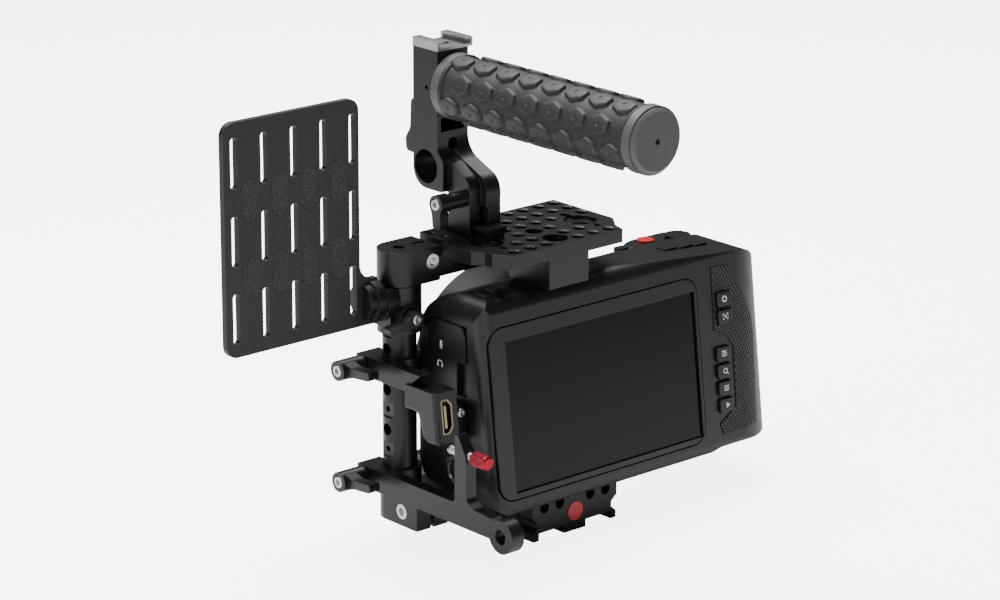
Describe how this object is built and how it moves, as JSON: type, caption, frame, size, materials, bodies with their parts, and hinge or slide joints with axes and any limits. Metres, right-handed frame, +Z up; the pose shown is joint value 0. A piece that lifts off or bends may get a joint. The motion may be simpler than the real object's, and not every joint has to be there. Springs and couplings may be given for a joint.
{
  "type": "cinema camera rig",
  "caption": "Compact cinema camera in a half cage with a rubber top handle, an accessory panel, clamp arms beside a rod post and a dovetail base plate.",
  "frame": {"origin": "mouth of the 1/4-20 tripod thread in the bottom of the base plate", "axes": "+X towards the hand grip, +Y towards the lens, +Z up"},
  "size_m": [0.282, 0.162, 0.2196],
  "materials": {
    "anodised_black": "fine satin black anodising",
    "panel_black": "fine matte black powder",
    "plate_black": "satin black anodising",
    "badge_red": "satin red enamel",
    "screw_steel": "polished stainless",
    "dark_steel": "blackened steel",
    "shoe_silver": "clear anodised",
    "lever_black": "satin black",
    "grip_rubber": "matte moulded rubber",
    "collar_grey": "matte grey",
    "pad_weave": "hook tape",
    "thumb_red": "red anodised, knurled",
    "port_metal": "plated",
    "body_polycarbonate": "fine matte grain",
    "screen_glass": "gloss black glass",
    "body_rubber": "textured rubber",
    "button_black": "satin",
    "record_red": "satin red",
    "mount_steel": "satin stainless",
    "inner_parts": "circuit board and cells"
  },
  "bodies": {
    "rig": {"base_plate": "plate_black", "base_badge": "badge_red", "camera_screws": "dark_steel", "base_arm": "anodised_black", "clamp_screws": "screw_steel", "post": "anodised_black", "top_clamp": "anodised_black", "top_plate": "anodised_black", "plate_screws": "dark_steel", "handle_rail": "anodised_black", "rear_shell": "body_polycarbonate", "front_shell": "body_polycarbonate", "screen_bezel": "body_polycarbonate", "screen_glass": "screen_glass", "rear_texture_pad": "body_rubber", "grip_cover": "body_rubber", "lens_mount": "mount_steel", "sensor_block": "inner_parts", "main_board": "inner_parts", "fan_housing": "inner_parts", "battery": "inner_parts", "power_connector": "mount_steel"},
    "handle": {"handle_riser": "anodised_black", "cold_shoe": "shoe_silver", "shoe_screw": "dark_steel", "grip_core": "dark_steel", "grip_bolt": "dark_steel", "grip_sleeve": "grip_rubber", "grip_collar": "collar_grey", "grip_end_cap": "collar_grey"},
    "handle_lever": {"handle_lever": "lever_black"},
    "rod_lock_lever": {"rod_lock_lever": "lever_black"},
    "knuckle": {"knuckle_clamp": "anodised_black"},
    "knuckle_lever": {"knuckle_lever": "lever_black"},
    "panel": {"panel": "panel_black", "panel_pads": "pad_weave", "panel_stub": "anodised_black"},
    "upper_arm": {"upper_arm": "anodised_black", "video_port": "port_metal"},
    "upper_lever": {"upper_lever": "lever_black"},
    "lower_arm": {"lower_arm": "anodised_black"},
    "lower_lever": {"lower_lever": "lever_black"},
    "thumb_screw": {"thumb_screw": "thumb_red"},
    "fan_rotor": {"fan_rotor": "inner_parts"},
    "port_door": {"port_door": "body_polycarbonate"},
    "battery_door": {"battery_door": "body_polycarbonate"},
    "lens_release": {"lens_release": "button_black"},
    "power_switch": {"power_switch": "button_black"},
    "front_dial": {"front_dial": "button_black"},
    "record_button": {"record_button": "record_red"},
    "function_buttons": {"function_buttons": "button_black"},
    "rear_button_iris": {"rear_button_iris": "button_black"},
    "rear_button_focus": {"rear_button_focus": "button_black"},
    "rear_button_rate": {"rear_button_rate": "button_black"},
    "rear_button_zoom": {"rear_button_zoom": "button_black"},
    "rear_button_menu": {"rear_button_menu": "button_black"},
    "rear_button_play": {"rear_button_play": "button_black"},
    "top_key_1": {"top_key_1": "button_black"},
    "top_key_2": {"top_key_2": "button_black"},
    "top_key_3": {"top_key_3": "button_black"}
  },
  "joints": [
    {"name": "handle_on_rail", "type": "slide", "parent": "rig", "child": "handle", "axis": [0, 1, 0], "range_m": [-0.008, 0.005]},
    {"name": "handle_lever_turn", "type": "hinge", "parent": "handle", "child": "handle_lever", "pos_m": [-0.04, -0.004, 0.1528], "axis": [1, 0, 0], "range_deg": [-90, 120]},
    {"name": "rod_lock_turn", "type": "hinge", "parent": "handle", "child": "rod_lock_lever", "pos_m": [-0.03, 0.0267, 0.178], "axis": [0, 1, 0], "range_deg": [-100, 100]},
    {"name": "knuckle_swivel", "type": "hinge", "parent": "rig", "child": "knuckle", "pos_m": [-0.067, 0.004, 0.108], "axis": [0, 0, 1], "range_deg": [-90, 10]},
    {"name": "knuckle_lever_turn", "type": "hinge", "parent": "knuckle", "child": "knuckle_lever", "pos_m": [-0.07, -0.0077, 0.1064], "axis": [0, 1, 0], "range_deg": [-35, 60]},
    {"name": "panel_tilt", "type": "hinge", "parent": "knuckle", "child": "panel", "pos_m": [-0.084, 0.004, 0.1147], "axis": [1, 0, 0], "range_deg": [-100, 100]},
    {"name": "upper_arm_swing", "type": "hinge", "parent": "rig", "child": "upper_arm", "pos_m": [-0.067, 0.004, 0.0822], "axis": [0, 0, 1], "range_deg": [-40, 0]},
    {"name": "upper_lever_turn", "type": "hinge", "parent": "upper_arm", "child": "upper_lever", "pos_m": [-0.0808, 0.0136, 0.0822], "axis": [1, 0, 0], "range_deg": [-90, 90]},
    {"name": "lower_arm_swing", "type": "hinge", "parent": "rig", "child": "lower_arm", "pos_m": [-0.067, 0.004, 0.0312], "axis": [0, 0, 1], "range_deg": [-40, 0]},
    {"name": "lower_lever_turn", "type": "hinge", "parent": "lower_arm", "child": "lower_lever", "pos_m": [-0.0808, 0.0136, 0.0312], "axis": [1, 0, 0], "range_deg": [-90, 90]},
    {"name": "thumb_screw_turn", "type": "hinge", "parent": "lower_arm", "child": "thumb_screw", "pos_m": [-0.0774, -0.0565, 0.0578], "axis": [0, 1, 0], "range_deg": [-180, 180]},
    {"name": "fan_spin", "type": "hinge", "parent": "rig", "child": "fan_rotor", "pos_m": [0.03, -0.0192, 0.069], "axis": [0, 1, 0], "continuous": true},
    {"name": "port_door_open", "type": "hinge", "parent": "rig", "child": "port_door", "pos_m": [-0.058, -0.004, 0.0885], "axis": [0, 0, 1], "range_deg": [-30, 0]},
    {"name": "battery_door_open", "type": "hinge", "parent": "rig", "child": "battery_door", "pos_m": [0.0825, 0.0058, 0.0253], "axis": [0, 1, 0], "range_deg": [0, 85]},
    {"name": "lens_release_press", "type": "slide", "parent": "rig", "child": "lens_release", "axis": [0, -1, 0], "range_m": [0, 0.0012], "stiffness_N_per_m": 600},
    {"name": "power_switch_slide", "type": "slide", "parent": "rig", "child": "power_switch", "axis": [1, 0, 0], "range_m": [0, 0.004]},
    {"name": "front_dial_turn", "type": "hinge", "parent": "rig", "child": "front_dial", "pos_m": [0.104, 0.008, 0.104], "axis": [0, 0, 1], "continuous": true},
    {"name": "function_press", "type": "slide", "parent": "rig", "child": "function_buttons", "axis": [0, 0, -1], "range_m": [0, 0.0006], "stiffness_N_per_m": 400},
    {"name": "record_press", "type": "slide", "parent": "rig", "child": "record_button", "axis": [0, 0, -1], "range_m": [0, 0.0006], "stiffness_N_per_m": 400},
    {"name": "iris_press", "type": "slide", "parent": "rig", "child": "rear_button_iris", "axis": [0, 0.9923, -0.1236], "range_m": [0, 0.0008], "stiffness_N_per_m": 400},
    {"name": "focus_press", "type": "slide", "parent": "rig", "child": "rear_button_focus", "axis": [0, 0.9923, -0.1236], "range_m": [0, 0.0008], "stiffness_N_per_m": 400},
    {"name": "rate_press", "type": "slide", "parent": "rig", "child": "rear_button_rate", "axis": [0, 0.9923, -0.1236], "range_m": [0, 0.0008], "stiffness_N_per_m": 400},
    {"name": "zoom_press", "type": "slide", "parent": "rig", "child": "rear_button_zoom", "axis": [0, 0.9923, -0.1236], "range_m": [0, 0.0008], "stiffness_N_per_m": 400},
    {"name": "menu_press", "type": "slide", "parent": "rig", "child": "rear_button_menu", "axis": [0, 0.9923, -0.1236], "range_m": [0, 0.0008], "stiffness_N_per_m": 400},
    {"name": "play_press", "type": "slide", "parent": "rig", "child": "rear_button_play", "axis": [0, 0.9923, -0.1236], "range_m": [0, 0.0008], "stiffness_N_per_m": 400},
    {"name": "key_1_press", "type": "slide", "parent": "rig", "child": "top_key_1", "axis": [0, 0, -1], "range_m": [0, 0.0008], "stiffness_N_per_m": 400},
    {"name": "key_2_press", "type": "slide", "parent": "rig", "child": "top_key_2", "axis": [0, 0, -1], "range_m": [0, 0.0008], "stiffness_N_per_m": 400},
    {"name": "key_3_press", "type": "slide", "parent": "rig", "child": "top_key_3", "axis": [0, 0, -1], "range_m": [0, 0.0008], "stiffness_N_per_m": 400}
  ]
}
